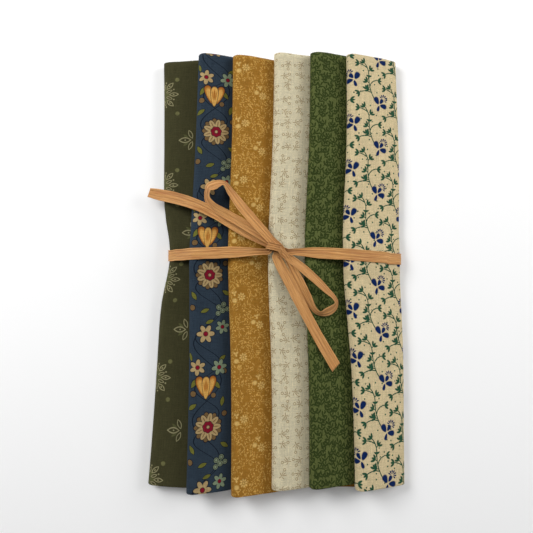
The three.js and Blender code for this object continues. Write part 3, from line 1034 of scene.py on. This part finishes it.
def makeOlivePrint(settings):
    p = clothPrint("olive_cotton", settings["ground"])
    tile = settings["tile"]
    # an eight-pointed medallion of outlined leaves
    at = p.repeat(*settings["medallion"], *tile)
    fold = p.sector(at, 0, 0, 0, 8)
    spear = p.leaf(fold, 8.6, 0, 0, 3.1, 1.35)
    line = (spear - 0.85).math("ABSOLUTE") * 5
    fill = p.leaf(fold, 4.4, 0, 0, 2.4, 1.1)
    halfFold = p.sector(at, 0, 0, 22.5, 8)
    line = line.low((p.leaf(halfFold, 6.0, 0, 0, 2.2, 0.9) - 0.85).math("ABSOLUTE") * 4)
    line = line.low(p.oval(fold, 8.4, 0, 0, 0.55, 0.4)).low(p.oval(halfFold, 9.2, 0, 0, 0.5, 0.5))
    fill = fill.low(p.oval(halfFold, 2.6, 0, 0, 1.1, 0.6))
    # a sprig of three leaves
    at = p.repeat(*settings["sprig"], *tile)
    leaves = p.leaf(at, -3.6, 0, 0, 4.0, 1.9)
    lean = settings["sprigLean"]
    leafX, leafY = 0.6 - 1.5 * math.cos(math.radians(lean)), 4.2 * math.sin(math.radians(lean))
    for side in (1, -1):
        leaves = leaves.low(p.leaf(at, leafX, leafY * side, 180 - lean * side, 3.2, 1.3))
        fill = fill.low(p.leaf(at, -2.9, 2.6 * side, 180 - 40 * side, 2.2, 0.8))
    line = line.low((leaves - 0.85).math("ABSOLUTE") * 5).low(p.oval(at, -3.4, 0, 0, 0.5, 0.5))
    dots, size = None, settings["dotSize"]
    for place in settings["dots"]:
        dots = joined(dots, p.oval(p.repeat(*place, *tile), 0, 0, 0, size, size))
    p.stamp(fill, settings["fill"], 0.2)
    p.stamp(dots, settings["dot"], 0.2)
    p.stamp(line, settings["line"], 0.4)
    return p


bluePrint = {
    "ground": (46, 58, 70),
    "vine": (20, 27, 38),
    "rim": (58, 50, 38),
    "tan": (172, 148, 104),
    "shade": (112, 88, 56),
    "sage": (124, 138, 112),
    "olive": (104, 104, 44),
    "crimson": (124, 22, 40),
    "gold": (206, 158, 82),
    "rust": (164, 100, 38),
    "tile": (46, 94),
    "vineX": 13,
    "vines": ((8, 0.0, 3), (-9, 1.0, 2)),   # swing, phase and waves in a tile
    "rosette": (14, 0),
    "tulip": (12, 24),
}
blueLeaves = [
    # x, y, turn, half length, half width
    (3.5, 12.5, 35, 3.2, 1.3), (25.0, -11.5, 150, 3.0, 1.3), (4.0, -13.0, 300, 3.0, 1.2),
    (23.0, 15.0, 80, 3.0, 1.3), (4.5, 27.0, 60, 3.4, 1.3), (19.0, 25.5, 130, 3.4, 1.3),
    (11.0, -22.5, 20, 3.0, 1.2), (22.5, 41.5, 40, 2.8, 1.2), (2.0, 43.0, 110, 2.8, 1.1),
    (14.0, -29.5, 200, 2.8, 1.1), (34.0, 3.0, 60, 3.2, 1.3), (38.0, -20.0, 200, 3.2, 1.3),
]
blueBerries = [
    # x, y, size
    (20.0, -20.5, 1.6), (23.3, -18.8, 1.6), (22.6, -22.6, 1.7), (19.6, -24.4, 1.5), (25.8, -21.8, 1.5),
    (36.0, 18.0, 1.6), (39.0, 20.0, 1.6), (36.0, 22.0, 1.5),
]
blueBuds = [
    (3.0, -20.5, 1.7), (24.5, 7.5, 1.6), (17.0, 19.0, 1.5), (4.0, 20.5, 1.7), (24.0, 33.5, 1.6),
    (33.0, -12.0, 1.6),
]
blueFlowers = [
    # x, y, colour, turn, size
    (20.5, 36.0, "sage", 10, 1.0), (6.5, 36.5, "tan", 25, 1.0), (11.5, -37.0, "tan", 0, 1.15),
    (22.5, -33.0, "sage", 15, 0.9), (38.0, 38.0, "tan", 0, 1.1),
]


def makeBluePrint(settings):
    p = clothPrint("blue_cotton", settings["ground"])
    width, height = settings["tile"]

    def printed(shape, fill, outline):
        p.stamp(shape, settings["vine"], 0.06, 1 + outline)
        p.stamp(shape, settings[fill], 0.08)

    # leaves, berries and buds come once across the roll, and in every tile along it
    def strewn(rows, kind="oval"):
        return p.ovals(p.repeat(0, 0, width * 1000, height), rows, kind)

    along, across = p.parts(p.repeat(settings["vineX"], 0, width, height))
    for swing, phase, waves in settings["vines"]:
        wave = (across * (2 * math.pi * waves / height) + phase).math("SINE") * swing
        p.stamp((along - wave).math("ABSOLUTE") * 3.0, settings["vine"], 0.3)
    printed(strewn(blueLeaves, "leaf"), "olive", 0.3)
    berries = strewn([(x, y, 0, size, size) for x, y, size in blueBerries])
    printed(berries, "sage", 0.25)
    p.stamp((berries - 0.62).math("ABSOLUTE") * 9, settings["rim"], 0.4)
    printed(strewn([(x, y, 0, size, size) for x, y, size in blueBuds]), "shade", 0.25)
    # the large rosette: two rows of round petals about a scalloped disc
    at = p.repeat(*settings["rosette"], width, height)
    fold = p.sector(at, 0, 0, 0, 9)
    printed(p.oval(p.sector(at, 0, 0, 20, 9), 6.1, 0, 0, 2.9, 1.75), "shade", 0.2)
    printed(p.oval(fold, 5.0, 0, 0, 3.3, 1.65), "tan", 0.16)
    p.stamp(p.oval(fold, 5.4, 0, 0, 1.7, 0.28), settings["shade"], 0.4)
    printed(p.oval(p.sector(at, 0, 0, 15, 7), 1.7, 0, 0, 1.75, 1.5), "crimson", 0.2)
    printed(p.oval(at, 0, 0, 0, 0.9, 0.9), "tan", 0.35)
    # small six-petalled flowers
    for x, y, fill, turn, size in blueFlowers:
        at = p.repeat(x, y, width, height)
        petals = p.oval(p.sector(at, 0, 0, turn, 6), 2.9 * size, 0, 0, 2.1 * size, 1.25 * size)
        printed(petals, fill, 0.24)
        printed(p.oval(at, 0, 0, 0, 1.2 * size, 1.2 * size), "crimson", 0.2)
    # a golden tulip of three long petals with rust streaks
    at = p.repeat(*settings["tulip"], width, height)
    sides = p.drop(at, -3.1, 0.8, 108, 6.2, 3.0).low(p.drop(at, 3.1, 0.8, 72, 6.2, 3.0))
    printed(sides, "rust", 0.12)
    p.stamp(sides, settings["gold"], 0.2, 0.72)
    printed(p.drop(at, 0, -0.2, 90, 6.6, 2.9), "gold", 0.12)
    streaks = [(0, 1.2, 90, 3.4, 0.5), (-1.0, 0.4, 96, 2.6, 0.3), (1.0, 0.4, 84, 2.6, 0.3)]
    p.stamp(p.ovals(at, streaks), settings["rust"], 0.4)
    return p


clothPrints = {
    "olive_cotton": (makeOlivePrint, olivePrint),
    "blue_cotton": (makeBluePrint, bluePrint),
    "ochre_cotton": (makeOchrePrint, ochrePrint),
    "cream_cotton": (makeCreamPrint, creamPrint),
    "green_cotton": (makeGreenPrint, greenPrint),
    "beige_cotton": (makeBeigePrint, beigePrint),
}
cotton = {
    "thread": 0.42,
    "weft": (7, 0.55, 1),     # a slub's length, width and detail
    "warp": (0.6, 8, 1),
    "slub": 0.36,             # how much the threads' shade varies
    "mottle": 0.1,
    "mottleNoise": (13, 13, 2),
    "threadShade": 0.3,
    "grain": 0.26,
    "grainNoise": (1.0, 0.8, 1),
    "bumpHeight": 0.00006,
    "roughness": 0.92,
    "sheen": 0.02,
    "specular": 0.06,
}


def threadRelief(p, settings):
    along, across = p.parts(p.uv)
    turns = 2 * math.pi / settings["thread"]
    return (along * turns).math("SINE") * (across * turns).math("SINE")


# the weave's shade over the print, and its relief
def finishCotton(p, settings):
    weft, warp = settings["weft"], settings["warp"]
    shade = (p.noise(*weft) + p.noise(*warp) - 1) * settings["slub"] + 1
    shade = shade + (p.noise(*settings["mottleNoise"]) - 0.5) * settings["mottle"]
    shade = shade + threadRelief(p, settings) * settings["threadShade"]
    shade = shade + (p.noise(*settings["grainNoise"]) - 0.5) * settings["grain"]
    woven = p.node("ShaderNodeMix", {0: 1, 6: p.colour, 7: shade}, data_type="RGBA", blend_type="MULTIPLY")
    relief = threadRelief(p, settings) + p.noise(*weft) + p.noise(*warp)
    return p.finish(woven.outputs[2], settings, relief)


raffiaLook = {
    # painted shade: the colour the strip's grooves are darkened to
    "groove": (134, 78, 30),
    # the fibres' colours: partly their own tone, partly painted highlight and shade
    "dark": (178, 116, 56),
    "middle": (206, 148, 80),
    "light": (232, 180, 114),
    "fibre": (9, 0.22, 2),    # length, width and detail
    "strand": (14, 0.352, 2),
    "crinkle": (30, 1.1, 1),
    "pits": (1.6, 2.2, 2),
    "bumpHeight": 0.0003,
    "roughness": 0.55,
    "sheen": 0.1,
}


def makeRaffiaMaterial(settings):
    p = clothPrint("raffia", settings["middle"])
    fibre, strand, crinkle, pits = (settings[key] for key in ("fibre", "strand", "crinkle", "pits"))
    # the fibres' own tone, and painted highlight and shade: lighter where the fibre noise of the bump stands
    # high, darker where the strand noise lies low
    p.paint((p.noise(*fibre) - 0.5).math("MULTIPLY", 3.2, clamp=True), settings["light"])
    p.paint((p.noise(*strand) * -1 + 0.45).math("MULTIPLY", 5.0, clamp=True), settings["dark"])
    p.paint((p.noise(*crinkle) * -1 + 0.5).math("MULTIPLY", 3.0, clamp=True), settings["dark"])
    # painted shade, darker in the strip's grooves, read from the mesh
    grooveShadeAttribute = p.node("ShaderNodeAttribute", {}, attribute_name="grooveShadeAttribute").outputs["Fac"]
    groove = nodeValue(p.tree, grooveShadeAttribute) * -1 + 1
    p.paint(groove.math("MULTIPLY", 0.85, clamp=True), settings["groove"])
    return p.finish(p.colour, settings, p.noise(*fibre) + p.noise(*strand) + p.noise(*pits) * 0.3)


raffiaTie.data.materials.append(makeRaffiaMaterial(raffiaLook))
cloths = []
for index, roll in enumerate(rollTable):
    cloth = makeRoll(index, roll, clothSheet)
    makePrint, printSettings = clothPrints[roll["cloth"]]
    cloth.data.materials.append(finishCotton(makePrint(printSettings), cotton))
    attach(cloth, "root")
    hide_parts(roll["name"])
    ["floor"] if index == 0 else [cloths[-1]]
    cloths.append(cloth)
    print(roll["name"], "wound,", len(cloth.data.polygons), "faces")


# the frayed threads at the raw ends: bent hairs on the outer turns' edge
fray = {
    "perRoll": 90,
    "length": 1.5,
    "thickness": 0.11,
    "bend": 0.55,
    "bendAt": (0.55, 0.85),   # shares of the length, where a hair starts to bend and where it ends
    "spread": 0.9,            # how far a thread leans aside, in radians
    "shortest": 0.25,
    "sides": 4,
    "parts": 4,
    "outerPart": 150,         # of the winding that shows threads
    "firstPlace": 4,
    "uneven": 0.4,            # how far a thread strays from its even place
    "unevenRate": 1.9,
    "rooted": 0.5,            # how far inside the raw end a thread starts
    "firstSeed": 11,
    "lowest": 0.06,           # no thread goes below this, above the surface
}


def makeFrayTree(settings):
    tree = bpy.data.node_groups.new("frayedThreads", "GeometryNodeTree")
    tree.is_modifier = True
    sockets = {"Geometry": "Geometry", "threadLength": "Float", "threadThickness": "Float",
               "threadBend": "Float", "leanAside": "Float", "drawSeed": "Int", "threadFinish": "Material"}
    for name, kind in sockets.items():
        tree.interface.new_socket(name, in_out="INPUT", socket_type="NodeSocket" + kind)
    tree.interface.new_socket("Geometry", in_out="OUTPUT", socket_type="NodeSocketGeometry")
    given = tree.nodes.new("NodeGroupInput").outputs

    def add(kind, inputs, **values):
        return addNode(tree, kind, inputs, **values)

    def vector(**parts):
        inputs = {axis.upper(): part for axis, part in parts.items()}
        return add("ShaderNodeCombineXYZ", inputs).outputs[0]

    def scaled(name, factor):
        return add("ShaderNodeMath", {0: given[name], 1: factor}, operation="MULTIPLY").outputs[0]

    # one hair, bent sideways, from the raw edge outwards
    start, end = settings["bendAt"]
    hair = add("GeometryNodeCurveQuadraticBezier", {
        "Resolution": settings["parts"], "Start": (0, 0, 0),
        "Middle": vector(y=scaled("threadLength", start)),
        "End": vector(x=given["threadBend"], y=scaled("threadLength", end))})
    rim = add("GeometryNodeCurvePrimitiveCircle", {
        "Resolution": settings["sides"], "Radius": scaled("threadThickness", 0.5)})
    tube = add("GeometryNodeCurveToMesh", {
        "Curve": hair.outputs[0], "Profile Curve": rim.outputs[0], "Fill Caps": True})
    # each hair is turned round the roll's length, leans aside, and has its own size
    most = vector(x=given["leanAside"], z=given["leanAside"])
    least = add("ShaderNodeVectorMath", {0: most, "Scale": -1}, operation="SCALE").outputs[0]
    seed = given["drawSeed"]
    turned = add("FunctionNodeRandomValue", {}, data_type="FLOAT_VECTOR")
    for name, part in (("Min", least), ("Max", most), ("Seed", seed)):
        feed(tree, part, turned.inputs[name])
    sized = add("FunctionNodeRandomValue", {2: settings["shortest"], 3: 1, "Seed": seed}, data_type="FLOAT")
    points = add("GeometryNodeMeshToPoints", {0: given["Geometry"]})
    placed = add("GeometryNodeInstanceOnPoints", {
        "Points": points.outputs[0], "Instance": tube.outputs[0], "Rotation": turned.outputs[0],
        "Scale": sized.outputs[1]})
    real = add("GeometryNodeRealizeInstances", {0: placed.outputs[0]})
    finish = add("GeometryNodeSetMaterial", {"Geometry": real.outputs[0], "Material": given["threadFinish"]})
    add("NodeGroupOutput", {0: finish.outputs[0]})
    return tree


# threads show the undyed cotton a little, so they are paler than the print's ground
def makeThreadMaterial(name, ground):
    p = clothPrint(name, [(part + 235) / 2.3 for part in ground])
    place = p.node("ShaderNodeTexCoord", {}).outputs["Object"]
    mottle = p.node("ShaderNodeTexNoise", {"Vector": place, "Scale": 900}).outputs[0]
    p.paint(mottle, ground)
    return p.finish(p.colour, {key: cotton[key] for key in ("roughness", "specular")})


def makeFray(index, roll, tree, settings):
    section = sectionsAt(roll["back"])[index]
    threadNumbers = np.arange(settings["perRoll"])
    stray = settings["uneven"] * wander(threadNumbers * settings["unevenRate"], index)
    place = (threadNumbers + 0.5 + stray) / settings["perRoll"]
    place = place * settings["outerPart"] + settings["firstPlace"]
    winding = windingAt(roll, section, clothSheet, place)
    layer = np.where(threadNumbers % 3, 1, -1) * bundleSizes["layerPitch"] / 2
    x, z = placeOnWinding(winding, layer)[:2]
    drift = wander(place / clothSheet["backWave"], index) * clothSheet["endWander"]
    y = taperedPlace(roll, section["line"][-1, 0], x, roll["back"] + drift - settings["rooted"])
    edge = makeMesh(roll["name"] + "_edge", np.stack([x, y, z], 1), [])
    modifier = edge.modifiers.new("fray", "NODES")
    modifier.node_group = tree
    material = makeThreadMaterial(roll["name"] + "_thread", clothPrints[roll["cloth"]][1]["ground"])
    values = {"threadLength": settings["length"] * metre, "threadThickness": settings["thickness"] * metre,
              "threadBend": settings["bend"] * metre, "leanAside": settings["spread"],
              "drawSeed": index + settings["firstSeed"], "threadFinish": material}
    for item in tree.interface.items_tree:
        if item.item_type == "SOCKET" and item.in_out == "INPUT" and item.name in values:
            modifier[item.identifier] = values[item.name]
    bpy.context.view_layer.update()
    seen = edge.evaluated_get(bpy.context.evaluated_depsgraph_get())
    mesh = bpy.data.meshes.new_from_object(seen)
    for vertex in mesh.vertices:
        vertex.co.z = max(vertex.co.z, settings["lowest"] * metre)
    threads = addObject(roll["name"] + "_fray", mesh)
    bpy.data.objects.remove(edge)
    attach(threads, "root")
    return threads


frayTree = makeFrayTree(fray)
for index, roll in enumerate(rollTable):
    threads = makeFray(index, roll, frayTree, fray)
    print(roll["name"], "frayed,", len(threads.data.polygons), "faces")


# a plain pale floor and soft studio light
studio = {
    "floorReach": 1300,
    "floorRings": (0.2, 0.5, 0.8, 1),
    "floorSides": 64,
    "coveRadius": 900,
    "coveSteps": 10,
    "floorColour": (0.95, 0.95, 0.95, 1),
    "floorRoughness": 0.9,
    "worldColour": (1, 1, 1, 1),
    "worldStrength": 0.12,
    "lights": (
        # name, place and size in metres, power
        ("keyLight", (-0.62, 0.5, 0.62), 0.45, 7.9),
        ("sideLight", (0.8, 0.35, 0.5), 0.5, 5.3),
        ("topLight", (0.1, 0.4, 1.3), 0.9, 4),
    ),
}


# a round floor that turns up into a backdrop
def makeFloor(settings):
    profile = [(settings["floorReach"] * share, 0) for share in settings["floorRings"]]
    for step in range(1, settings["coveSteps"] + 1):
        angle = math.pi / 2 * step / settings["coveSteps"]
        profile.append((settings["floorReach"] + settings["coveRadius"] * math.sin(angle),
                        settings["coveRadius"] * (1 - math.cos(angle))))
    sides = settings["floorSides"]
    points, faces = [(0, 0, 0)], []
    for reach, height in profile:
        for side in range(sides):
            points.append((*onward(0, 0, 360 * side / sides, reach), height))
    for side in range(sides):
        ahead = (side + 1) % sides
        faces.append((0, 1 + side, 1 + ahead))
        for ring in range(len(profile) - 1):
            start = 1 + ring * sides
            faces.append((start + side, start + sides + side, start + sides + ahead, start + ahead))
    floor = makeMesh("floor", points, faces)
    material = bpy.data.materials.new("floor")
    material.use_nodes = True
    shader = material.node_tree.nodes["Principled BSDF"]
    shader.inputs["Base Color"].default_value = settings["floorColour"]
    shader.inputs["Roughness"].default_value = settings["floorRoughness"]
    floor.data.materials.append(material)


def makeLight(name, place, size, power):
    data = bpy.data.lights.new(name, "AREA")
    data.size = size
    data.energy = power
    light = addObject(name, data)
    light.location = place
    light.rotation_mode = "QUATERNION"
    light.rotation_quaternion = (-light.location).to_track_quat("-Z", "Y")


makeFloor(studio)
for light in studio["lights"]:
    makeLight(*light)
world = bpy.data.worlds.new("studio")
world.use_nodes = True
background = world.node_tree.nodes["Background"]
background.inputs["Color"].default_value = studio["worldColour"]
background.inputs["Strength"].default_value = studio["worldStrength"]
bpy.context.scene.world = world
bpy.context.scene.view_settings.view_transform = "Standard"
print("studio lit")
